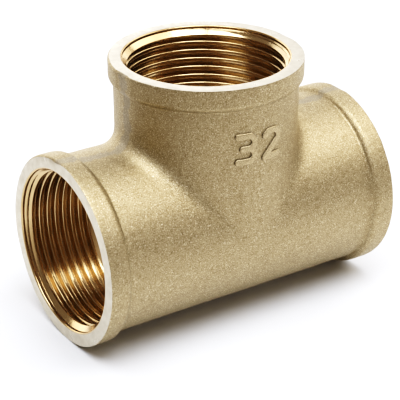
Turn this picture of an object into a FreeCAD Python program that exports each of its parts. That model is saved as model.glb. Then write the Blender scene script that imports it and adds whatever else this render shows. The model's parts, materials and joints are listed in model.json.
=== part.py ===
import FreeCAD, Part
import math
import os

from FreeCAD import Vector

# Female tee fitting, G 1 1/4 on all three ends. Millimetres, +Z up.
# Origin: under the crossing of the two axes, on the plane the run collars rest on.
# The run lies along X, the branch points up +Z, the marked front faces -Y.

# Overall size
RUN_HALF_LENGTH = 43.0      # crossing of the axes to each run face
BRANCH_HEIGHT = 43.0        # crossing of the axes to the branch face
COLLAR_RADIUS = 24.7
AXIS_HEIGHT = COLLAR_RADIUS

# Cast skin
BODY_RADIUS = 23.3          # run and branch bodies, flush at front and back
CROTCH_FILLET = 4.5
COLLAR_BAND = 4.2           # straight part of the collar, measured from the face
SHOULDER_RADIUS = 1.5       # convex, then concave, between collar and body
FACE_EDGE_RADIUS = 0.9      # rounding between the collar and the face
CHAMBER_RADIUS = 20.2       # rough bore behind the threads

# Machined zone of each socket
FACE_RADIUS = COLLAR_RADIUS - FACE_EDGE_RADIUS
FACE_SKIM = 1.0             # thickness of the faced ring
SLEEVE_RADIUS = 21.8
SLEEVE_DEPTH = 18.6         # face to the end of the threads
MOUTH_RADIUS = 21.0         # short counterbore, then a 45 degree chamfer down to the threads
MOUTH_DEPTH = 0.86
MOUTH_EDGE = 0.4            # rounding between the counterbore and the face

# G 1 1/4 thread, 55 degree Whitworth form
PITCH = 25.4 / 11.0
MAJOR_RADIUS = 41.910 / 2.0
MINOR_RADIUS = 19.78
FLANK_ANGLE = math.radians(27.5)
ROOT_RADIUS = 0.137329 * PITCH
THREAD_OVERRUN = 1.5        # the groove runs on this far past both ends
BRANCH_PHASE = -46.0        # degrees each socket is turned about its axis
RUN_PHASE = 72.0

# Raised size mark, a generic "32" for the nominal bore
MARK_HEIGHT = 8.4
MARK_DIGIT_WIDTH = 6.0
MARK_GAP = 1.4
MARK_STROKE = 1.6
MARK_RAISE = 0.45
MARK_CENTRE_Z = 26.7        # above the run axis

X_AXIS = Vector(1, 0, 0)
Y_AXIS = Vector(0, 1, 0)
Z_AXIS = Vector(0, 0, 1)
ORIGIN = Vector(0, 0, 0)


def revolved(edges):
    """Turn a closed outline in the XZ half plane about the Z axis."""
    face = Part.Face(Part.Wire(edges))
    return face.revolve(ORIGIN, Z_AXIS, 360)


def polyline(points):
    return [Part.makeLine(a, b) for a, b in zip(points[:-1], points[1:])]


def outer_end(face_height):
    """Body and collar of one end along Z, from the crossing up to its face."""
    drop = COLLAR_RADIUS - BODY_RADIUS
    turn = math.acos(1.0 - drop / (2.0 * SHOULDER_RADIUS))
    reach = SHOULDER_RADIUS * math.sin(turn)
    band_end = face_height - COLLAR_BAND
    convex = Vector(COLLAR_RADIUS - SHOULDER_RADIUS, 0, band_end)
    concave = Vector(BODY_RADIUS + SHOULDER_RADIUS, 0, band_end - 2.0 * reach)
    middle = Vector((COLLAR_RADIUS + BODY_RADIUS) / 2.0, 0, band_end - reach)
    half = turn / 2.0
    lean = Vector(math.cos(half), 0, math.sin(half)) * SHOULDER_RADIUS
    convex_mid = Vector(convex.x + lean.x, 0, convex.z - lean.z)
    concave_mid = Vector(concave.x - lean.x, 0, concave.z + lean.z)
    foot = Vector(BODY_RADIUS, 0, concave.z)
    band_low = Vector(COLLAR_RADIUS, 0, band_end)
    band_top = Vector(COLLAR_RADIUS, 0, face_height - FACE_EDGE_RADIUS)
    face_rim = Vector(FACE_RADIUS, 0, face_height)
    bow = FACE_EDGE_RADIUS * math.sqrt(0.5)
    edge_mid = Vector(FACE_RADIUS + bow, 0, face_height - FACE_EDGE_RADIUS + bow)
    edges = [
        Part.makeLine(Vector(0, 0, 0), Vector(BODY_RADIUS, 0, 0)),
        Part.makeLine(Vector(BODY_RADIUS, 0, 0), foot),
        Part.Arc(foot, concave_mid, middle).toShape(),
        Part.Arc(middle, convex_mid, band_low).toShape(),
        Part.makeLine(band_low, band_top),
        Part.Arc(band_top, edge_mid, face_rim).toShape(),
        Part.makeLine(face_rim, Vector(0, 0, face_height)),
        Part.makeLine(Vector(0, 0, face_height), Vector(0, 0, 0)),
    ]
    return revolved(edges)


def to_run_end(shape, side):
    """Lay a shape built along +Z down along +X (side 1) or -X (side -1)."""
    turned = shape.copy()
    turned.rotate(ORIGIN, Y_AXIS, 90 * side)
    return turned


def raised(shape):
    """Move from the crossing of the axes to the shared frame."""
    moved = shape.copy()
    moved.translate(Vector(0, 0, AXIS_HEIGHT))
    return moved


def crotch_prism(slope):
    """Triangle in the XZ plane, point down at the crossing, extruded across the tee."""
    height = 2.0 * BRANCH_HEIGHT
    half_width = height * slope
    corners = [(0, 0), (half_width, height), (-half_width, height), (0, 0)]
    depth = 2.0 * COLLAR_RADIUS
    face = Part.Face(Part.makePolygon([Vector(x, -depth / 2.0, z) for x, z in corners]))
    return face.extrude(Vector(0, depth, 0))


def crotch_blend(side):
    """Fillet between run and branch on one side, closed on the two planes it ends at.

    The fillet outline lies in the XZ plane. Towards the front and back it shrinks with the
    distance between the two bodies and vanishes where they are flush.
    """
    run_end = BODY_RADIUS + CROTCH_FILLET
    middle = math.sqrt(0.5)
    outline = [(run_end, BODY_RADIUS, 1.0), (BODY_RADIUS, BODY_RADIUS, middle), (BODY_RADIUS, run_end, 1.0)]
    across = [(0, -1, 1.0), (1, -1, middle), (1, 0, 1.0), (1, 1, middle), (0, 1, 1.0)]
    poles = [[Vector(side * x * c, BODY_RADIUS * s, z * c) for c, s, _ in across] for x, z, _ in outline]
    weights = [[u * v for _, _, v in across] for _, _, u in outline]
    surface = Part.BSplineSurface()
    surface.buildFromPolesMultsKnots(poles, [3, 3], [3, 2, 3], [0, 1], [0, 1, 2], False, False, 2, 2, weights)
    skin = surface.toShape()
    front = Vector(0, -BODY_RADIUS, 0)
    back = Vector(0, BODY_RADIUS, 0)
    rims = [surface.uIso(0).toShape(), surface.uIso(1).toShape()]
    ends = [Part.Face(Part.Wire([rim, Part.makeLine(back, front)])) for rim in rims]
    shell = Part.Shell([skin] + ends)
    shell.sewShape()
    return Part.Solid(shell)


def run_skin():
    """Outside of the run and its collars, up to the planes where the crotch fillets begin."""
    slope = (BODY_RADIUS + CROTCH_FILLET) / BODY_RADIUS
    run = to_run_end(outer_end(RUN_HALF_LENGTH), 1)
    run = run.fuse(to_run_end(outer_end(RUN_HALF_LENGTH), -1)).removeSplitter()
    return run.cut(crotch_prism(slope))


def branch_skin():
    """Outside of the branch with its collar and both crotch fillets."""
    slope = (BODY_RADIUS + CROTCH_FILLET) / BODY_RADIUS
    branch = outer_end(BRANCH_HEIGHT).common(crotch_prism(1.0 / slope))
    return branch.multiFuse([crotch_blend(1), crotch_blend(-1)]).removeSplitter()


def machined_envelope(face_height):
    """Outline of the metal one socket's cutters leave with a turned finish."""
    ring = Part.makeCylinder(FACE_RADIUS, FACE_SKIM, Vector(0, 0, face_height - FACE_SKIM))
    sleeve = Part.makeCylinder(SLEEVE_RADIUS, SLEEVE_DEPTH, Vector(0, 0, face_height - SLEEVE_DEPTH))
    return ring.fuse(sleeve).removeSplitter()


def thread_turn(start):
    """One turn of the helical groove cut by the tap, root outwards, from the given height up."""
    apex = MAJOR_RADIUS + PITCH * 0.960491 / 6.0
    inner = MINOR_RADIUS - 0.45
    inner_half = (apex - inner) * math.tan(FLANK_ANGLE)
    centre = MAJOR_RADIUS - ROOT_RADIUS
    tangent_r = centre + ROOT_RADIUS * math.sin(FLANK_ANGLE)
    tangent_z = ROOT_RADIUS * math.cos(FLANK_ANGLE)
    low = Vector(inner, 0, start - inner_half)
    low_root = Vector(tangent_r, 0, start - tangent_z)
    root = Vector(MAJOR_RADIUS, 0, start)
    high_root = Vector(tangent_r, 0, start + tangent_z)
    high = Vector(inner, 0, start + inner_half)
    profile = Part.Wire([
        Part.makeLine(low, low_root),
        Part.Arc(low_root, root, high_root).toShape(),
        Part.makeLine(high_root, high),
        Part.makeLine(high, low),
    ])
    helix = Part.makeHelix(PITCH, PITCH, MINOR_RADIUS)
    helix.translate(Vector(0, 0, start))
    return Part.Wire(helix).makePipeShell([profile], True, True)


def socket_bore(face_height):
    """Rounded edge, counterbore, chamfer and thread core, everything but the groove."""
    chamfer = MOUTH_RADIUS - MINOR_RADIUS
    half = MOUTH_EDGE * math.sqrt(0.5)
    low = Vector(MOUTH_RADIUS, 0, face_height - MOUTH_EDGE)
    middle = Vector(MOUTH_RADIUS + MOUTH_EDGE - half, 0, face_height - MOUTH_EDGE + half)
    high = Vector(MOUTH_RADIUS + MOUTH_EDGE, 0, face_height)
    below = [
        Vector(0, 0, face_height - SLEEVE_DEPTH - 1.0),
        Vector(MINOR_RADIUS, 0, face_height - SLEEVE_DEPTH - 1.0),
        Vector(MINOR_RADIUS, 0, face_height - MOUTH_DEPTH - chamfer),
        Vector(MOUTH_RADIUS, 0, face_height - MOUTH_DEPTH),
        low,
    ]
    above = [
        high,
        Vector(MOUTH_RADIUS + MOUTH_EDGE, 0, face_height + 1.0),
        Vector(0, 0, face_height + 1.0),
        below[0],
    ]
    return revolved(polyline(below) + [Part.Arc(low, middle, high).toShape()] + polyline(above))


def socket(face_height):
    """One machined socket along +Z: faced ring, mouth and real thread."""
    metal = machined_envelope(face_height).cut(socket_bore(face_height))
    start = face_height - SLEEVE_DEPTH - THREAD_OVERRUN
    turns = math.ceil((SLEEVE_DEPTH + 2.0 * THREAD_OVERRUN) / PITCH)
    for turn in range(turns):
        metal = metal.cut(thread_turn(start + turn * PITCH))
    return metal


def turned(shape, angle):
    """Turn about the shape's own axis, which sets where its thread starts."""
    copy = shape.copy()
    copy.rotate(ORIGIN, Z_AXIS, angle)
    return copy


def passages():
    """The rough cored water ways behind the three sockets."""
    run_length = 2.0 * (RUN_HALF_LENGTH + 1.0)
    run = Part.makeCylinder(CHAMBER_RADIUS, run_length, Vector(-run_length / 2.0, 0, 0), X_AXIS)
    branch = Part.makeCylinder(CHAMBER_RADIUS, BRANCH_HEIGHT + 1.0, ORIGIN, Z_AXIS)
    return run.fuse(branch)


def stroke(points):
    """A round-ended bar through the points, drawn in the XZ plane and standing out of the front."""
    depth = 0.25 * BODY_RADIUS
    inner_end = Vector(0, depth / 2.0 - BODY_RADIUS, 0)
    pieces = []
    for point in points:
        pieces.append(Part.makeCylinder(MARK_STROKE / 2.0, depth, point + inner_end, Y_AXIS * -1))
    for a, b in zip(points[:-1], points[1:]):
        along = b - a
        side = Vector(-along.z, 0, along.x).normalize() * (MARK_STROKE / 2.0)
        corners = [a + side, b + side, b - side, a - side, a + side]
        face = Part.Face(Part.makePolygon([corner + inner_end for corner in corners]))
        pieces.append(face.extrude(Vector(0, -depth, 0)))
    return pieces[0].multiFuse(pieces[1:]).removeSplitter()


def digit_strokes(name, centre_x):
    """Bar centrelines of a block-drawn 3 or 2 with bevelled corners."""
    half = (MARK_DIGIT_WIDTH - MARK_STROKE) / 2.0
    tall = (MARK_HEIGHT - MARK_STROKE) / 2.0
    left = centre_x - half
    right = centre_x + half
    low = MARK_CENTRE_Z - tall
    mid = MARK_CENTRE_Z
    high = MARK_CENTRE_Z + tall
    cut = half * 0.45
    if name == "3":
        upper = [(left, high), (right - cut, high), (right, high - cut), (right, mid + cut)]
        lower = [(right, mid - cut), (right, low + cut), (right - cut, low), (left, low)]
        return [upper + [(right - cut, mid)] + lower, [(right - cut, mid), (centre_x - cut, mid)]]
    arch = [(left, high - cut), (left + cut, high), (right - cut, high), (right, high - cut)]
    return [arch + [(right, mid + cut), (left, low), (right, low)]]


def raised_digit(name, centre_x, skin):
    """One digit, wrapped on the branch body and seated on the skin."""
    bars = [stroke([Vector(x, 0, z) for x, z in line]) for line in digit_strokes(name, centre_x)]
    digit = bars[0]
    for bar in bars[1:]:
        digit = digit.fuse(bar)
    low = MARK_CENTRE_Z - MARK_HEIGHT
    wrap = Part.makeCylinder(BODY_RADIUS + MARK_RAISE, 2.0 * MARK_HEIGHT, Vector(0, 0, low))
    return digit.common(wrap).cut(skin).removeSplitter()


def build():
    run_envelope = machined_envelope(RUN_HALF_LENGTH)
    removed = [
        passages(),
        machined_envelope(BRANCH_HEIGHT),
        to_run_end(run_envelope, 1),
        to_run_end(run_envelope, -1),
    ]
    branch = branch_skin()
    run_socket = turned(socket(RUN_HALF_LENGTH), RUN_PHASE)
    digit_offset = (MARK_DIGIT_WIDTH + MARK_GAP) / 2.0
    return {
        "run_body": run_skin().cut(removed),
        "branch_body": branch.cut(removed),
        "branch_socket": turned(socket(BRANCH_HEIGHT), BRANCH_PHASE),
        "right_socket": to_run_end(run_socket, 1),
        "left_socket": to_run_end(run_socket, -1),
        "size_digit_3": raised_digit("3", -digit_offset, branch),
        "size_digit_2": raised_digit("2", digit_offset, branch),
    }


os.makedirs("parts", exist_ok=True)
for name, shape in build().items():
    raised(shape).exportStep("parts/" + name + ".step")
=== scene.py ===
import json
import math

import bmesh
import bpy
import numpy as np
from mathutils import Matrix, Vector


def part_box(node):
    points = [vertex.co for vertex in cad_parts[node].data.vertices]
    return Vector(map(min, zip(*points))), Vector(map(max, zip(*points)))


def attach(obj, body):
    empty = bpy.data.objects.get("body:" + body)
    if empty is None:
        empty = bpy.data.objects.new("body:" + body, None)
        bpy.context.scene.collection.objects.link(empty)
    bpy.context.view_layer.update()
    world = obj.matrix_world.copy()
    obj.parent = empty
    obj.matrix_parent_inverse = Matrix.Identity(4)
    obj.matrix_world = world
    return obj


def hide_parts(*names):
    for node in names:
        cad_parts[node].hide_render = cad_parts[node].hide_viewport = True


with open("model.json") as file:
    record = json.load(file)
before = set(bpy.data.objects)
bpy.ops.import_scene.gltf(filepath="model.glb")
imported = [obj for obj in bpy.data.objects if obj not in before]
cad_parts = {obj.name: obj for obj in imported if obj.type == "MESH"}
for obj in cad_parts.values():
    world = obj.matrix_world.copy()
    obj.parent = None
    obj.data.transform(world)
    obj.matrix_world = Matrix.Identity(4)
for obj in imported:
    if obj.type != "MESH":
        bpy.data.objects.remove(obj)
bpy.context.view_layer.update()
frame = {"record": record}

# Looks of a cast brass female tee, G 1 1/4 on all three ends.
# Shapes are modelled in millimetres from the crossing of the two axes, with the run along X
# and the branch up +Z. new_piece() turns them into metres in the frame's own place.

MM = 0.001
DEGREE = math.radians(1.0)
RIGHT_ANGLE = math.pi / 2.0
FULL_TURN = 2.0 * math.pi

# Sizes read from the frame
RUN_LOW, RUN_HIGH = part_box("run_body")
SOCKET_LOW, SOCKET_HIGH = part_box("branch_socket")
COLLAR = (RUN_HIGH.y - RUN_LOW.y) / 2.0 / MM            # collar radius
FACE = (RUN_HIGH.x - RUN_LOW.x) / 2.0 / MM              # crossing to every face
CROSSING = Vector((0.0, 0.0, COLLAR * MM))
SLEEVE_DEPTH = (SOCKET_HIGH.z - SOCKET_LOW.z) / MM
THREAD = next(m for m in frame["record"]["mounts"] if m["name"] == "branch_socket")
CORE = THREAD["dims"]["r_mm"]                           # thread minor radius

# Cast outside
RUN_BODY = 23.25
BRANCH_BODY = 23.3
BRANCH_FLARE = 0.15         # the branch widens this much towards its collar
FLARE_START = 15.0          # height over the crossing
FLARE_LENGTH = 20.0
CROTCH = 5.3                # reach of the blend between run and branch at the seam
BAND = 4.2                  # straight part of each collar
SHOULDER_CONVEX = 1.9
SHOULDER_CONCAVE = 0.45
EDGE_ROUND = 1.0            # raw casting's rounding at the end of each collar

# How far each raw end stands past its machined face, and the side where it stands highest
LIFT = 0.50
LIFT_TILT = 0.32
LIFT_LOBES = 0.10           # three waves round the end
LIFT_RIPPLE = 0.06          # seven waves round it
LEAST_LIFT = 0.22
LEFT_HIGH_SIDE = -150.0 * DEGREE
RIGHT_HIGH_SIDE = -60.0 * DEGREE
BRANCH_HIGH_SIDE = -60.0 * DEGREE

# Flash trimmed off along the seam, in the plane of the two axes
TRIM = 0.07
COLLAR_TRIM = 0.16          # so much deeper on the collars
TRIM_WAVER = 0.05
TRIM_RUN_IN = 2.0           # length over which the trim deepens towards a collar
TRIM_FLOOR = -20.0          # height from which it fades in
TRIM_FADE = 10.0

# Sand-cast skin: bump size and height, from slow waves to coarse grain
RELIEF = ((13.0, 0.060), (5.0, 0.035), (1.7, 0.022), (0.9, 0.016))
RELIEF_SINK = 0.06
SAND_GRAIN = 0.26           # grain in its material, too fine for the mesh
SAND_ROUGH = 0.65

# Grid that the casting's surface is found on
GRID_STEP = 0.55
GRID_FINE = 0.25
GRID_MARGIN = 2.6
FINE_SPAN = (FACE - BAND - 2.8, FACE - BAND + 0.2)      # along each collar's shoulder

# Cored water way behind the threads
CHAMBER = 20.2
CHAMBER_WAVER = 0.004       # share of its radius
CHAMBER_CELL = 4.0
CHAMBER_RINGS = 60
CHAMBER_STEPS = 180

# Machined zone of each socket
SLEEVE = 21.8
RING_DEPTH = 1.0
MOUTH = 20.98               # short counterbore at the mouth, then a 45 degree chamfer to the thread
LIP = 0.88                  # depth of the counterbore
LIP_EDGE = 0.42             # rounding between the face and the counterbore
PITCH = 25.4 / 11.0
MAJOR = 41.910 / 2.0
FLANK = 27.5 * DEGREE
ROOT = 0.14                 # rounding at the bottom of the groove
CREST_ROUND = 0.28          # rounding of the land's corners
GROOVE_START = SLEEVE_DEPTH + 1.5                       # depth below the face, past the sleeve
BRANCH_PHASE = -46.0 * DEGREE
RUN_PHASE = 72.0 * DEGREE
CHATTER = 0.010             # unevenness left by the tap
MOUTH_WEAR = 0.05           # and how much rougher it gets at the mouth
MOUTH_WEAR_REACH = 2.5
ROUND_STEPS = 288           # points round every turned surface
ARC_POINTS = 5              # points on each rounding of the groove
LIP_POINTS = 6              # and on the rounding at the face
CLEARANCE = 1.0             # how far a cutter passes the metal that it cuts
RAW_END = 4.0               # height cleared over each face
OVERLAP = 0.5               # how far the water ways reach past the crossing

# Raised size mark on the branch
MARK_RAISE = 0.5
MARK_STROKE = 1.7
MARK_CORNER = 0.45          # cut off each corner, as a share of half the digit's width
MARK_SLANT = 0.3            # how much its sides lean outwards
MARK_FOOT = 0.15            # height over the wall where a stroke has its full width
MARK_SOFT = 0.25            # reach of the blend along its upper edges
MARK_SEAT = 0.45            # how deep it sits in the branch wall
MARK_WEAR = 0.04
MARK_GRID = 0.16
MARK_MARGIN = 0.8
MARK_BACK = 0.88            # share of the branch radius where the digits' grid ends

# Smooth shading stops at edges sharper than these
MACHINED_CREASE = 32.0 * DEGREE
CAST_CREASE = 40.0 * DEGREE
MARK_CREASE = 60.0 * DEGREE

# Camera
CAMERA_AZIMUTH = -33.57 * DEGREE
CAMERA_ELEVATION = 26.31 * DEGREE
CAMERA_DISTANCE = 405.7 * MM
LOOK_AT = CROSSING + Vector((-2.2, 0.0, 2.7)) * MM
LENS = 140.5
SENSOR = 36.0
SHIFT_ACROSS = 0.0034
SHIFT_UP = 0.0033
NEAREST = 0.01              # clipping distances in metres
FARTHEST = 20.0

# Floor
SHEET_FRONT = 100.0 * MM    # how far the white sheet reaches towards the camera
SHEET_CORNER = 80.0 * MM    # and how far to its front left corner
SHEET_FADE = 35.0 * MM
FLOOR_HALF = 4.0            # metres

# Lamps: distances in metres
PANEL_HEIGHT = 1.0
BACKDROP_DISTANCE = 1.6
BACKDROP_ELEVATION = 9.0 * DEGREE
BACKDROP_HEIGHT = 0.75
COOL = (0.93, 0.98, 1.09)
NEUTRAL = (1.0, 1.0, 1.0)
FILL = 0.23
FILL_COLOUR = (1.0, 0.86, 0.73, 1.0)

# Contrast curve of the picture
TONE_POWER = 1.5            # how far the deep tones are held down
TONE_KNEE = 0.45            # where the curve bends over towards white
TONE_LEVELS = (0.04, 0.1, 0.2, 0.35, 0.5, 0.7, 0.85)


# ---------------------------------------------------------------- noise and implicit surfaces

def lattice_noise(points, cell, seed):
    """Smooth noise between -1 and 1 whose bumps are about one cell across."""
    size = 32
    shift = 1000.0
    lattice = np.random.default_rng(seed).uniform(-1.0, 1.0, (size, size, size))
    scaled = points / cell + shift
    base = np.floor(scaled).astype(int)
    share = scaled - base
    share = share * share * share * (share * (share * 6.0 - 15.0) + 10.0)
    total = np.zeros(len(points))
    for corner in np.ndindex(2, 2, 2):
        weight = np.prod(np.where(corner, share, 1.0 - share), axis=1)
        spot = (base + corner) % size
        total += weight * lattice[spot[:, 0], spot[:, 1], spot[:, 2]]
    return total


def surface_nets(field, spans):
    """Corner points and quads over the zero surface of a field that is negative inside."""
    grid = np.stack(np.meshgrid(*spans, indexing="ij"), axis=-1)
    values = field(grid.reshape(-1, 3)).reshape(grid.shape[:3])
    inside = values < 0.0
    cells = tuple(n - 1 for n in inside.shape)
    filled = np.zeros(cells, int)
    for i, j, k in np.ndindex(2, 2, 2):
        filled += inside[i:i + cells[0], j:j + cells[1], k:k + cells[2]]
    mixed = (filled > 0) & (filled < 8)
    number = np.full(cells, -1)
    number[mixed] = np.arange(mixed.sum())
    points = np.zeros((mixed.sum(), 3))
    hits = np.zeros(len(points))
    quads = []
    for axis in range(3):
        near = [slice(None)] * 3
        far = [slice(None)] * 3
        near[axis] = slice(None, -1)
        far[axis] = slice(1, None)
        edges = np.argwhere(inside[tuple(near)] != inside[tuple(far)])
        ends = edges.copy()
        ends[:, axis] += 1
        at_start, at_end = values[tuple(edges.T)], values[tuple(ends.T)]
        start, end = grid[tuple(edges.T)], grid[tuple(ends.T)]
        crossing = start + (at_start / (at_start - at_end))[:, None] * (end - start)
        u, v = (axis + 1) % 3, (axis + 2) % 3
        ring = []
        for step_u, step_v in ((0, 0), (-1, 0), (-1, -1), (0, -1)):
            cell = edges.copy()
            cell[:, u] += step_u
            cell[:, v] += step_v
            ring.append(number[tuple(cell.T)])
            np.add.at(points, ring[-1], crossing)
            np.add.at(hits, ring[-1], 1.0)
        ring = np.stack(ring, axis=1)
        leaving = at_start < 0.0
        ring[~leaving] = ring[~leaving][:, ::-1]
        quads.append(ring)
    return points / hits[:, None], np.concatenate(quads)


def slope(field, points, step=0.02):
    """Gradient of a field by central differences."""
    columns = []
    for axis in np.eye(3):
        columns.append((field(points + axis * step) - field(points - axis * step)) / (2.0 * step))
    return np.stack(columns, axis=1)


def settle(field, points, rounds=3):
    """Move points onto the zero surface and return them with the outward normals."""
    for _ in range(rounds):
        steep = slope(field, points)
        points = points - steep * (field(points) / (steep ** 2).sum(axis=1).clip(0.05))[:, None]
    steep = slope(field, points)
    return points, steep / np.linalg.norm(steep, axis=1)[:, None]


def soft_min(a, b, reach):
    """Smaller of two fields, blended where they differ by less than the reach."""
    reach = np.maximum(reach, 1e-6)
    near = np.maximum(reach - np.abs(a - b), 0.0) / reach
    return np.minimum(a, b) - near * near * reach / 4.0


def grid_lines(low, high, fine=()):
    """Grid positions from low to high, closer together inside the fine spans."""
    lines = [low]
    while lines[-1] < high:
        middle = lines[-1] + GRID_STEP / 2.0
        close = any(a < middle < b for a, b in fine)
        lines.append(lines[-1] + (GRID_FINE if close else GRID_STEP))
    return np.array(lines)


# ---------------------------------------------------------------- the cast skin

def outline(height, body, lift):
    """Radius of an end at some height above the crossing: body, shoulder, band and raw edge."""
    drop = COLLAR - body
    radii = SHOULDER_CONVEX + SHOULDER_CONCAVE
    turn = np.arccos(1.0 - drop / radii)
    convex_start = FACE - BAND
    inflection = convex_start - SHOULDER_CONVEX * np.sin(turn)
    foot = inflection - SHOULDER_CONCAVE * np.sin(turn)
    from_foot = np.clip(height - foot, 0.0, SHOULDER_CONCAVE)
    from_band = np.clip(convex_start - height, 0.0, SHOULDER_CONVEX)
    concave = body + SHOULDER_CONCAVE - np.sqrt(SHOULDER_CONCAVE ** 2 - from_foot ** 2)
    convex = COLLAR - SHOULDER_CONVEX + np.sqrt(SHOULDER_CONVEX ** 2 - from_band ** 2)
    radius = np.where(height < foot, body, np.where(height < inflection, concave, convex))
    into_edge = np.clip(height - (FACE + lift - EDGE_ROUND), 0.0, EDGE_ROUND)
    return radius - EDGE_ROUND + np.sqrt(EDGE_ROUND ** 2 - into_edge ** 2)


def raw_lift(angle, high_side, seed):
    """How far the raw end stands past the machined face, which sets where the face's edge falls."""
    lobes = LIFT_LOBES * np.sin(3.0 * angle + seed)
    ripple = LIFT_RIPPLE * np.sin(7.0 * angle + 2.0 * seed)
    lift = LIFT + LIFT_TILT * np.cos(angle - high_side) + (lobes + ripple)
    return np.clip(lift, LEAST_LIFT, EDGE_ROUND)


def run_field(p):
    """Run body with its two collars; negative inside."""
    x, y, z = p.T
    angle = np.arctan2(z, y)
    left = raw_lift(angle, LEFT_HIGH_SIDE, 1.0)
    right = raw_lift(angle, RIGHT_HIGH_SIDE, 4.0)
    lift = np.where(x < 0.0, left, right)
    radial = np.hypot(y, z) - outline(np.abs(x), RUN_BODY, lift)
    return np.maximum(radial, np.abs(x) - FACE - lift)


def branch_field(p):
    """Branch body with its collar, ending inside the run."""
    x, y, z = p.T
    lift = raw_lift(np.arctan2(y, x), BRANCH_HIGH_SIDE, 2.5)
    body = BRANCH_BODY + BRANCH_FLARE * np.clip((z - FLARE_START) / FLARE_LENGTH, 0.0, 1.0)
    radial = np.hypot(x, y) - outline(z, body, lift)
    return np.maximum(np.maximum(radial, z - FACE - lift), -z)


def cast_field(p):
    """Whole outside of the casting. The crotch blend is widest at the seam and gone at the front."""
    seam_share = np.clip(1.0 - (p[:, 1] / RUN_BODY) ** 2, 0.0, 1.0)
    return soft_min(run_field(p), branch_field(p), CROTCH * seam_share)


def trimmed_depth(p):
    """How deep the flash was trimmed off along the seam: a narrow flat, wider on the collars.

    It fades out underneath, where the collars stand on the floor.
    """
    reach = np.maximum(np.abs(p[:, 0]), p[:, 2])
    on_collar = np.clip((reach - (FACE - BAND - TRIM_RUN_IN)) / TRIM_RUN_IN, 0.0, 1.0)
    above = np.clip((p[:, 2] - TRIM_FLOOR) / TRIM_FADE, 0.0, 1.0)
    depth = above * (TRIM + COLLAR_TRIM * on_collar + TRIM_WAVER * lattice_noise(p, 7.0, 11))
    return np.clip(depth - p[:, 1] ** 2 / (2.0 * RUN_BODY), 0.0, None)


def relief(p):
    """Unevenness of the sand-cast skin, never outwards."""
    height = np.full(len(p), -RELIEF_SINK)
    for seed, (cell, depth) in enumerate(RELIEF, 1):
        height += depth * lattice_noise(p, cell, seed)
    return np.minimum(height, 0.0)


def cast_block():
    """The casting before machining, as a closed mesh."""
    mirrored = (-FINE_SPAN[1], -FINE_SPAN[0])
    lines = [
        grid_lines(-FACE - GRID_MARGIN, FACE + GRID_MARGIN, [mirrored, FINE_SPAN]),
        grid_lines(-COLLAR - GRID_MARGIN, COLLAR + GRID_MARGIN),
        grid_lines(-COLLAR - GRID_MARGIN, FACE + GRID_MARGIN, [FINE_SPAN]),
    ]
    points, quads = surface_nets(cast_field, lines)
    points, normals = settle(cast_field, points)
    points = points + normals * (relief(points) - trimmed_depth(points))[:, None]
    return new_piece("block", points, quads, CAST_BRASS)


# ---------------------------------------------------------------- turned shapes

def revolve(outline_points, steps=ROUND_STEPS):
    """Closed solid about +Z from (radius, height) points whose first and last lie on the axis."""
    rings = outline_points[1:-1]
    angles = np.arange(steps) * FULL_TURN / steps
    points = [(0.0, 0.0, outline_points[0][1]), (0.0, 0.0, outline_points[-1][1])]
    for radius, height in rings:
        points += [(radius * math.cos(a), radius * math.sin(a), height) for a in angles]
    faces = []
    for i in range(steps):
        after = (i + 1) % steps
        faces.append((0, 2 + after, 2 + i))
        top = 2 + (len(rings) - 1) * steps
        faces.append((1, top + i, top + after))
        for k in range(len(rings) - 1):
            row = 2 + k * steps
            faces.append((row + i, row + after, row + steps + after, row + steps + i))
    return np.array(points), faces


def groove_profile():
    """(axial offset from the root, radius) over one pitch: root, flanks and rounded crest corners."""
    centre = MAJOR - ROOT
    tangent = ROOT * math.cos(FLANK)
    tangent_radius = centre + ROOT * math.sin(FLANK)
    crest = tangent + (tangent_radius - CORE) * math.tan(FLANK)
    sweep = RIGHT_ANGLE - FLANK
    setback = CREST_ROUND * math.tan(sweep / 2.0)
    half = []
    for t in np.linspace(0.0, sweep, ARC_POINTS):
        half.append((ROOT * math.sin(t), centre + ROOT * math.cos(t)))
    flank_end = (crest - setback * math.sin(FLANK), CORE + setback * math.cos(FLANK))
    half.append(((half[-1][0] + flank_end[0]) / 2.0, (half[-1][1] + flank_end[1]) / 2.0))
    corner = (crest + setback, CORE + CREST_ROUND)
    for t in np.linspace(sweep, 0.0, ARC_POINTS):
        half.append((corner[0] - CREST_ROUND * math.sin(t), corner[1] - CREST_ROUND * math.cos(t)))
    half.append((PITCH / 2.0, CORE))
    mirrored = [(-offset, radius) for offset, radius in half[:0:-1]]
    return mirrored + half[:-1]


def helix_points(profile, phase, first, count):
    """The groove's profile carried along the helix, one row of points for each small step."""
    step = np.arange(count + 1)
    angle = step * FULL_TURN / ROUND_STEPS
    points = np.zeros((count + 1, len(profile), 3))
    for column, (offset, radius) in enumerate(profile):
        points[:, column, 0] = radius * np.cos(angle + phase)
        points[:, column, 1] = radius * np.sin(angle + phase)
        points[:, column, 2] = first + PITCH * step / ROUND_STEPS + offset
    return points.reshape(-1, 3)


def chattered(points, seed):
    """Points moved in or out a little, most of all near the mouth."""
    radial = points / np.hypot(points[:, 0], points[:, 1])[:, None] * [1.0, 1.0, 0.0]
    near_mouth = np.clip((points[:, 2] - (FACE - MOUTH_WEAR_REACH)) / MOUTH_WEAR_REACH, 0.0, 1.0)
    slow = CHATTER * lattice_noise(points, 2.2, seed)
    worn = MOUTH_WEAR * near_mouth * lattice_noise(points, 0.7, seed + 1)
    return points + radial * (slow + worn)[:, None]


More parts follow.
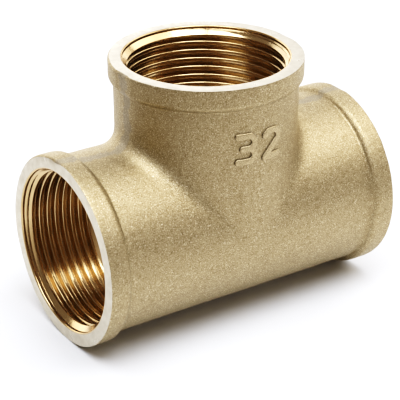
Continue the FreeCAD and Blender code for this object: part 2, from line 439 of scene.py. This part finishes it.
def helix_faces(count, per_pitch):
    """Faces of the wound profile, closed by two fans whose hubs follow the last point."""

    def spot(k, j):
        return (k + ROUND_STEPS) * per_pitch if j == per_pitch else k * per_pitch + j

    def loop(k):
        along = [spot(k + step, 0) for step in range(ROUND_STEPS + 1)]
        return along + [spot(k, j) for j in range(per_pitch - 1, 0, -1)]

    last = count - ROUND_STEPS
    faces = []
    for k in range(last):
        for j in range(per_pitch):
            faces.append((spot(k, j), spot(k + 1, j), spot(k + 1, j + 1), spot(k, j + 1)))
    hub = (count + 1) * per_pitch
    bottom, top = loop(0), loop(last)
    faces += [(hub, b, a) for a, b in zip(bottom, bottom[1:] + bottom[:1])]
    faces += [(hub + 1, a, b) for a, b in zip(top, top[1:] + top[:1])]
    return faces


def threaded_rod(side, phase, seed):
    """Solid that cuts one socket's thread: a rod whose ridges follow the helix."""
    profile = groove_profile()
    first = FACE - GROOVE_START - PITCH
    turns = math.ceil((GROOVE_START + 2.0 * PITCH) / PITCH)
    count = turns * ROUND_STEPS
    wound = chattered(helix_points(profile, phase, first, count), seed)
    hubs = np.array([[0.0, 0.0, first], [0.0, 0.0, first + PITCH * turns]])
    points = np.concatenate([wound, hubs])
    return new_piece("tool", lay_down(points, side), helix_faces(count, len(profile)), TAPPED)


def lay_down(points, side):
    """Turn a shape built along +Z to the right (1) or left (-1) end of the run; 0 leaves it."""
    if side == 0:
        return points
    x, y, z = points.T
    return np.stack([side * z, y, -side * x], axis=1)


# ---------------------------------------------------------------- pieces

def new_piece(name, points, faces, material):
    """Mesh object in the frame's place and units from points in millimetres."""
    mesh = bpy.data.meshes.new(name)
    placed = np.asarray(points) * MM + np.array(CROSSING)
    mesh.from_pydata(placed.tolist(), [], [tuple(int(i) for i in f) for f in faces])
    mesh.materials.append(material)
    bm = bmesh.new()
    bm.from_mesh(mesh)
    bmesh.ops.delete(bm, geom=[v for v in bm.verts if not v.link_faces], context="VERTS")
    bmesh.ops.recalc_face_normals(bm, faces=bm.faces)
    bm.to_mesh(mesh)
    bm.free()
    piece = bpy.data.objects.new(name, mesh)
    bpy.context.scene.collection.objects.link(piece)
    return piece


def carve(piece, tool, operation="DIFFERENCE"):
    """Boolean of two closed meshes; each face keeps the material of the mesh it came from."""
    modifier = piece.modifiers.new(operation.lower(), "BOOLEAN")
    modifier.operation = operation
    modifier.solver = "MANIFOLD"
    modifier.object = tool
    modifier.material_mode = "TRANSFER"
    made = bpy.data.meshes.new_from_object(piece.evaluated_get(bpy.context.evaluated_depsgraph_get()))
    piece.modifiers.clear()
    piece.data = made


def cut_away(piece, tool):
    """Cut a tool's shape out of a piece and put the tool away."""
    carve(piece, tool)
    bpy.data.objects.remove(tool)


def shade(piece, angle):
    """Smooth shading with the machined edges kept sharp."""
    piece.data.shade_smooth()
    piece.data.set_sharp_from_angle(angle=angle)


def hand_over(piece, name, slot, *nodes):
    """Put a finished piece on the part's only body in place of its CAD nodes."""
    piece.name = name + "_visual"
    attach(piece, "root")
    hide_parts(*nodes)


# ---------------------------------------------------------------- materials

class Shader:
    """A material's node tree. Each method adds a node and returns its output."""

    def __init__(self, name):
        self.material = bpy.data.materials.new(name)
        self.material.use_nodes = True
        self.tree = self.material.node_tree
        self.surface = self.tree.nodes["Principled BSDF"]
        self.place = self.add("ShaderNodeTexCoord").outputs["Object"]

    def add(self, kind, inputs=None, **settings):
        """A node with some of its inputs and settings given. Returns the node itself."""
        node = self.tree.nodes.new(kind)
        for name, value in settings.items():
            setattr(node, name, value)
        for name, value in (inputs or {}).items():
            self.feed(node.inputs[name], value)
        return node

    def feed(self, socket, value):
        """Give an input a plain value or another node's output."""
        if isinstance(value, bpy.types.NodeSocket):
            self.tree.links.new(value, socket)
        else:
            socket.default_value = value

    def noise(self, cell, detail=2.0, rough=0.5):
        """Noise whose bumps are about one cell, in millimetres, across."""
        node = self.add("ShaderNodeTexNoise", {
            "Vector": self.place, "Scale": 1.0 / (cell * MM), "Detail": detail, "Roughness": rough})
        return node.outputs[0]

    def between(self, value, low, high, out_low=0.0, out_high=1.0):
        """A value carried from one range over to another, and held inside it."""
        node = self.add("ShaderNodeMapRange", {
            "Value": value, "From Min": low, "From Max": high, "To Min": out_low, "To Max": out_high})
        return node.outputs[0]

    def math(self, operation, a, b=0.0):
        """Result of one operation on two values."""
        return self.add("ShaderNodeMath", {0: a, 1: b}, operation=operation).outputs[0]

    def mix(self, share, a, b):
        """Colour a share of the way from a to b."""
        return self.add("ShaderNodeMix", {0: share, 6: a, 7: b}, data_type="RGBA").outputs[2]

    def shifted(self, move=(0.0, 0.0, 0.0), scale=(1.0, 1.0, 1.0)):
        """Object coordinates, scaled and then moved."""
        node = self.add("ShaderNodeMapping", {"Vector": self.place, "Location": move, "Scale": scale})
        return node.outputs[0]

    def bump(self, height, depth, normal=None):
        """Relief of some depth in millimetres, on top of another bump if one is given."""
        node = self.add("ShaderNodeBump", {"Height": height, "Distance": depth * MM, "Strength": 1.0})
        if normal:
            self.feed(node.inputs["Normal"], normal)
        return node.outputs[0]

    def metal(self, colour, rough, normal):
        """The finished material, as bare metal."""
        self.feed(self.surface.inputs["Base Color"], colour)
        self.feed(self.surface.inputs["Roughness"], rough)
        self.feed(self.surface.inputs["Normal"], normal)
        self.feed(self.surface.inputs["Metallic"], 1.0)
        return self.material


def cast_material():
    """Blasted sand-cast brass: fine sharp grain with painted glints on it, greyer where the flash was
    trimmed.
    """
    hollow = (0.245, 0.18, 0.085, 1.0)
    raised = (0.55, 0.455, 0.28, 1.0)
    # pale colour of the painted glints on the grain
    painted_glint = (0.95, 0.88, 0.72, 1.0)
    greyed = (0.27, 0.26, 0.235, 1.0)
    s = Shader("cast_brass_skin")
    grain = s.noise(SAND_GRAIN, rough=SAND_ROUGH)
    coarse = s.noise(1.1, rough=0.6)
    tone = s.between(s.math("ADD", grain, s.math("MULTIPLY", coarse, 0.3)), 0.46, 0.84)
    colour = s.mix(tone, hollow, raised)
    # painted glints: pale specks on the grain's highest spots
    colour = s.mix(s.between(grain, 0.60, 0.70, 0.0, 0.6), colour, painted_glint)
    across = s.math("ABSOLUTE", s.add("ShaderNodeSeparateXYZ", {0: s.place}).outputs["Y"])
    edge = s.between(s.noise(3.0, 3.0, 0.7), 0.3, 0.7, 0.2 * MM, 2.6 * MM)
    trimmed = s.between(s.math("SUBTRACT", edge, across), -0.2 * MM, 0.2 * MM)
    colour = s.mix(s.math("MULTIPLY", trimmed, 0.35), colour, greyed)
    rough = s.between(coarse, 0.3, 0.7, 0.46, 0.54)
    return s.metal(colour, rough, s.bump(grain, 0.10, s.bump(coarse, 0.05)))


def mark_material():
    """The cast skin on the raised digits, with painted shade on each stroke's sides, darkest in the
    corner at its foot.
    """
    # near-black colour for the painted shade in the corner round each stroke
    painted_shade = (0.07, 0.05, 0.025, 1.0)
    hollow = (0.36, 0.28, 0.155, 1.0)
    raised = (0.60, 0.50, 0.32, 1.0)
    ragged = 0.08 * MM
    foot = (BRANCH_BODY + 0.05) * MM
    top = (BRANCH_BODY + MARK_RAISE - 0.08) * MM
    s = Shader("cast_brass_mark")
    grain = s.noise(SAND_GRAIN, rough=SAND_ROUGH)
    flat = s.shifted(scale=(1.0, 1.0, 0.0))
    out = s.add("ShaderNodeVectorMath", {0: flat}, operation="LENGTH").outputs["Value"]
    out = s.math("ADD", out, s.between(grain, 0.3, 0.7, -ragged, ragged))
    skin = s.mix(s.between(grain, 0.35, 0.65), hollow, raised)
    # painted shade: each stroke's sides darken from its top down to the corner at its foot
    colour = s.mix(s.between(out, foot, top), painted_shade, skin)
    return s.metal(colour, 0.5, s.bump(grain, 0.05))


def faced_material(name, turned_about):
    """Freshly faced brass with fine feed marks round the axis."""
    bright = (0.62, 0.565, 0.45, 1.0)
    dull = (0.53, 0.475, 0.365, 1.0)
    s = Shader(name)
    centred = s.shifted(move=(0.0, 0.0, -CROSSING.z))
    rings = s.add("ShaderNodeTexWave", {
        "Vector": centred, "Scale": 900.0, "Distortion": 1.5, "Detail": 1.0, "Detail Scale": 1.0},
        wave_type="RINGS", rings_direction=turned_about).outputs[0]
    smear = s.noise(2.5, 3.0, 0.6)
    colour = s.mix(s.between(smear, 0.3, 0.7), bright, dull)
    rough = s.between(smear, 0.3, 0.7, 0.26, 0.38)
    return s.metal(colour, rough, s.bump(rings, 0.006))


def thread_material():
    """Tapped brass: bright, golden, with faint streaks left by the tool."""
    golden = (0.60, 0.44, 0.235, 1.0)
    stained = (0.51, 0.36, 0.18, 1.0)
    s = Shader("tapped_brass")
    streaks = s.noise(0.5)
    colour = s.mix(s.between(s.noise(6.0), 0.3, 0.7), golden, stained)
    rough = s.between(streaks, 0.3, 0.7, 0.13, 0.22)
    return s.metal(colour, rough, s.bump(streaks, 0.012))


def chamber_material():
    """Cored surface behind the threads, left as cast and dull."""
    light = (0.62, 0.45, 0.24, 1.0)
    dark = (0.45, 0.32, 0.17, 1.0)
    s = Shader("cored_brass")
    grain = s.noise(0.7, 3.0, 0.6)
    return s.metal(s.mix(grain, light, dark), 0.6, s.bump(grain, 0.12))


CAST_BRASS = cast_material()
MARK_BRASS = mark_material()
FACED_RUN = faced_material("faced_brass_run", "X")
FACED_BRANCH = faced_material("faced_brass_branch", "Z")
TAPPED = thread_material()
CORED = chamber_material()


# ---------------------------------------------------------------- building

def blank_outline(above=0.0):
    """Metal taken by one socket: sleeve, thin faced ring and, in a cutter, the raw end above it."""
    bottom = FACE - SLEEVE_DEPTH
    rim = COLLAR + CLEARANCE
    points = [(0.0, bottom), (SLEEVE, bottom), (SLEEVE, FACE - RING_DEPTH), (rim, FACE)]
    if above:
        points.append((rim, FACE + above))
    return points + [(0.0, FACE + above)]


def mouth_outline():
    """Cutter for the mouth: 45 degree chamfer, short counterbore and a rounded edge at the face."""
    inner = CORE - CLEARANCE
    bottom = FACE - LIP - (MOUTH - inner)
    points = [(0.0, bottom), (inner, bottom), (MOUTH, FACE - LIP)]
    for t in np.linspace(0.0, RIGHT_ANGLE, LIP_POINTS):
        across = MOUTH + LIP_EDGE * (1.0 - math.cos(t))
        points.append((across, FACE - LIP_EDGE * (1.0 - math.sin(t))))
    top = FACE + CLEARANCE
    return points + [(MOUTH + LIP_EDGE + CLEARANCE, top), (0.0, top)]


def turned_tool(outline_points, side, material):
    """Turned solid on the axis of one end."""
    points, faces = revolve(outline_points)
    return new_piece("tool", lay_down(points, side), faces, material)


def rough_bore(side, seed):
    """Cutter for a cored water way, from just behind the crossing out through the face."""
    heights = np.linspace(0.0, FACE + CLEARANCE, CHAMBER_RINGS)
    wall = [(CHAMBER, height) for height in heights]
    points, faces = revolve([(0.0, 0.0)] + wall + [(0.0, heights[-1])], CHAMBER_STEPS)
    on_wall = np.hypot(points[:, 0], points[:, 1]) > 1.0
    uneven = 1.0 + CHAMBER_WAVER * lattice_noise(points, CHAMBER_CELL, seed) * on_wall
    points = points * np.stack([uneven, uneven, np.ones(len(points))], axis=1)
    points = points - [0.0, 0.0, OVERLAP]
    return new_piece("tool", lay_down(points, side), faces, CORED)


def build_socket(block, side, phase, faced, seed, node):
    """Faced ring, mouth and thread of one end, trimmed to the casting's own outline."""
    piece = turned_tool(blank_outline(), side, faced)
    carve(piece, block, "INTERSECT")
    cut_away(piece, threaded_rod(side, phase, seed))
    cut_away(piece, turned_tool(mouth_outline(), side, TAPPED))
    shade(piece, MACHINED_CREASE)
    hand_over(piece, node, "machined_brass", node)


def build_body(block):
    """The casting's skin, cut back where the sockets are and bored through."""
    piece = block.copy()
    bpy.context.scene.collection.objects.link(piece)
    for side in (0, 1, -1):
        cut_away(piece, turned_tool(blank_outline(RAW_END), side, CORED))
    for side, seed in ((0, 5), (1, 6), (-1, 7)):
        cut_away(piece, rough_bore(side, seed))
    shade(piece, CAST_CREASE)
    hand_over(piece, "casting", "cast_brass", "run_body", "branch_body")


def glyph(name, centre, middle, width, height):
    """Centrelines of a block-drawn digit: lists of (sideways, up) points."""
    half = (width - MARK_STROKE) / 2.0
    tall = (height - MARK_STROKE) / 2.0
    left, right = centre - half, centre + half
    low, high = middle - tall, middle + tall
    cut = half * MARK_CORNER
    if name == "3":
        upper = [(left, high), (right - cut, high), (right, high - cut), (right, middle + cut)]
        lower = [(right, middle - cut), (right, low + cut), (right - cut, low), (left, low)]
        waist = (right - cut, middle)
        return [upper + [waist] + lower, [waist, (centre - cut, middle)]]
    arch = [(left, high - cut), (left + cut, high), (right - cut, high), (right, high - cut)]
    return [arch + [(right, middle + cut), (left, low), (right, low)]]


def stroke_distance(sideways, up, lines):
    """Distance from points to the nearest centreline."""
    nearest = np.full(len(sideways), 1e3)
    for line in lines:
        for (ax, az), (bx, bz) in zip(line[:-1], line[1:]):
            along_x, along_z = bx - ax, bz - az
            share = ((sideways - ax) * along_x + (up - az) * along_z) / (along_x ** 2 + along_z ** 2)
            share = np.clip(share, 0.0, 1.0)
            away = np.hypot(sideways - ax - share * along_x, up - az - share * along_z)
            nearest = np.minimum(nearest, away)
    return nearest


def build_digit(name):
    """One raised digit with soft cast edges, seated a little into the branch wall."""
    node = "size_digit_" + name
    low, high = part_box(node)
    low = (low - CROSSING) / MM
    high = (high - CROSSING) / MM
    lines = glyph(name, (low.x + high.x) / 2.0, (low.z + high.z) / 2.0, high.x - low.x, high.z - low.z)
    top = BRANCH_BODY + MARK_RAISE

    def digit_field(p):
        x, y, z = p.T
        out = np.hypot(x, y)
        sideways = BRANCH_BODY * np.arctan2(x, -y)
        slant = MARK_SLANT * (out - BRANCH_BODY - MARK_FOOT)
        side = stroke_distance(sideways, z, lines) - MARK_STROKE / 2.0 + slant
        rounded = -soft_min(-side, top - out, MARK_SOFT)
        return np.maximum(rounded, BRANCH_BODY - MARK_SEAT - out)

    spans = [
        np.arange(low.x - MARK_MARGIN, high.x + MARK_MARGIN, MARK_GRID),
        np.arange(-top - MARK_MARGIN, -BRANCH_BODY * MARK_BACK, MARK_GRID),
        np.arange(low.z - MARK_MARGIN, high.z + MARK_MARGIN, MARK_GRID),
    ]
    points, quads = surface_nets(digit_field, spans)
    points, normals = settle(digit_field, points, 2)
    points = points + normals * (MARK_WEAR * lattice_noise(points, 1.2, 21))[:, None]
    piece = new_piece("digit", points, quads, MARK_BRASS)
    shade(piece, MARK_CREASE)
    hand_over(piece, node, "cast_brass", node)


BLOCK = cast_block()
build_socket(BLOCK, 0, BRANCH_PHASE, FACED_BRANCH, 31, "branch_socket")
build_socket(BLOCK, 1, RUN_PHASE, FACED_RUN, 41, "right_socket")
build_socket(BLOCK, -1, RUN_PHASE, FACED_RUN, 51, "left_socket")
build_body(BLOCK)
bpy.data.objects.remove(BLOCK)
build_digit("3")
build_digit("2")


# ---------------------------------------------------------------- studio

def direction(azimuth, elevation):
    """Unit vector from the object towards somebody at that azimuth and elevation."""
    flat = math.cos(elevation)
    return Vector((math.sin(azimuth) * flat, -math.cos(azimuth) * flat, math.sin(elevation)))


def facing(towards):
    """Rotation of a camera or lamp that looks back along the direction it stands in."""
    return (-towards).to_track_quat("-Z", "Y").to_euler()


def set_camera():
    """Camera where the photograph was taken from."""
    data = bpy.data.cameras.new("camera")
    data.lens = LENS
    data.sensor_width = SENSOR
    data.shift_x = SHIFT_ACROSS
    data.shift_y = SHIFT_UP
    data.clip_start = NEAREST
    data.clip_end = FARTHEST
    camera = bpy.data.objects.new("camera", data)
    back = direction(CAMERA_AZIMUTH, CAMERA_ELEVATION)
    camera.location = LOOK_AT + back * CAMERA_DISTANCE
    camera.rotation_euler = facing(back)
    bpy.context.scene.collection.objects.link(camera)
    bpy.context.scene.camera = camera


def softbox(name, size, radiance, colour, place, rotation):
    """Rectangular lamp that looks equally bright whatever its size."""
    width, length = size
    data = bpy.data.lights.new(name, "AREA")
    data.shape = "RECTANGLE"
    data.size = width
    data.size_y = length
    data.energy = radiance * math.pi * width * length
    data.color = colour
    lamp = bpy.data.objects.new(name, data)
    lamp.location = place
    lamp.rotation_euler = rotation
    bpy.context.scene.collection.objects.link(lamp)


def panel(name, corner, opposite, radiance, colour=NEUTRAL):
    """Softbox lying level over the crossing, facing down.

    Corners are given in metres to the camera's right and towards the camera.
    """
    towards = direction(CAMERA_AZIMUTH, 0.0)
    right = Vector((-towards.y, towards.x, 0.0))
    aside = (corner[0] + opposite[0]) / 2.0
    ahead = (corner[1] + opposite[1]) / 2.0
    place = CROSSING + (right * aside + towards * ahead + Vector((0.0, 0.0, PANEL_HEIGHT)))
    size = (opposite[0] - corner[0], opposite[1] - corner[1])
    softbox(name, size, radiance, colour, place, (0.0, 0.0, CAMERA_AZIMUTH))


def backdrop(name, turn, width, radiance):
    """Upright softbox facing the crossing; turn is its bearing in degrees from the camera's."""
    away = direction(CAMERA_AZIMUTH + turn * DEGREE, BACKDROP_ELEVATION)
    place = CROSSING + away * BACKDROP_DISTANCE
    softbox(name, (width, BACKDROP_HEIGHT), radiance, NEUTRAL, place, facing(away))


def set_floor():
    """Pale sweep: white under and behind the part, greyer far out in front and front left."""
    white = (0.76, 0.76, 0.76, 1.0)
    grey = (0.34, 0.31, 0.27, 1.0)
    low, high = -FLOOR_HALF, FLOOR_HALF
    corners = [(low, low, 0.0), (high, low, 0.0), (high, high, 0.0), (low, high, 0.0)]
    mesh = bpy.data.meshes.new("floor")
    mesh.from_pydata(corners, [], [(0, 1, 2, 3)])
    floor = bpy.data.objects.new("floor", mesh)
    bpy.context.scene.collection.objects.link(floor)
    s = Shader("floor_white")
    turned = s.add("ShaderNodeVectorRotate", {
        "Vector": s.place, "Angle": -CAMERA_AZIMUTH}, rotation_type="Z_AXIS").outputs[0]
    parts = s.add("ShaderNodeSeparateXYZ", {0: turned})
    front = s.math("MULTIPLY", parts.outputs["Y"], -1.0)
    corner = s.math("MULTIPLY", s.math("SUBTRACT", front, parts.outputs["X"]), math.sqrt(0.5))
    ahead = s.between(front, SHEET_FRONT, SHEET_FRONT + SHEET_FADE)
    aside = s.between(corner, SHEET_CORNER, SHEET_CORNER + SHEET_FADE)
    s.feed(s.surface.inputs["Base Color"], s.mix(s.math("MAXIMUM", ahead, aside), white, grey))
    s.feed(s.surface.inputs["Roughness"], 0.7)
    mesh.materials.append(s.material)


def set_world():
    """Weak warm light from the rest of the room."""
    world = bpy.data.worlds.new("studio")
    world.use_nodes = True
    background = world.node_tree.nodes["Background"]
    background.inputs["Color"].default_value = FILL_COLOUR
    background.inputs["Strength"].default_value = FILL
    bpy.context.scene.world = world


def set_tones():
    """Product-shot contrast: deep tones keep their colour and highlights run to white."""
    view = bpy.context.scene.view_settings
    view.view_transform = "Standard"
    view.use_curve_mapping = True
    points = view.curve_mapping.curves[3].points
    for light in TONE_LEVELS:
        lifted = light ** TONE_POWER
        points.new(light, (1.0 + TONE_KNEE) * lifted / (lifted + TONE_KNEE))
    view.curve_mapping.update()


set_camera()
set_floor()
set_world()
panel("overhead_left", (-0.55, -0.05), (-0.03, 0.7), 5.7, COOL)
panel("overhead_right", (0.03, -0.05), (0.55, 0.7), 7.2, COOL)
panel("right", (0.60, -1.5), (2.0, 0.3), 2.3)
panel("back", (-1.6, -2.4), (0.55, -0.9), 1.6, COOL)
backdrop("backdrop", 212.0, 2.2, 2.0)
backdrop("back_right", 150.0, 1.2, 1.6)
set_tones()
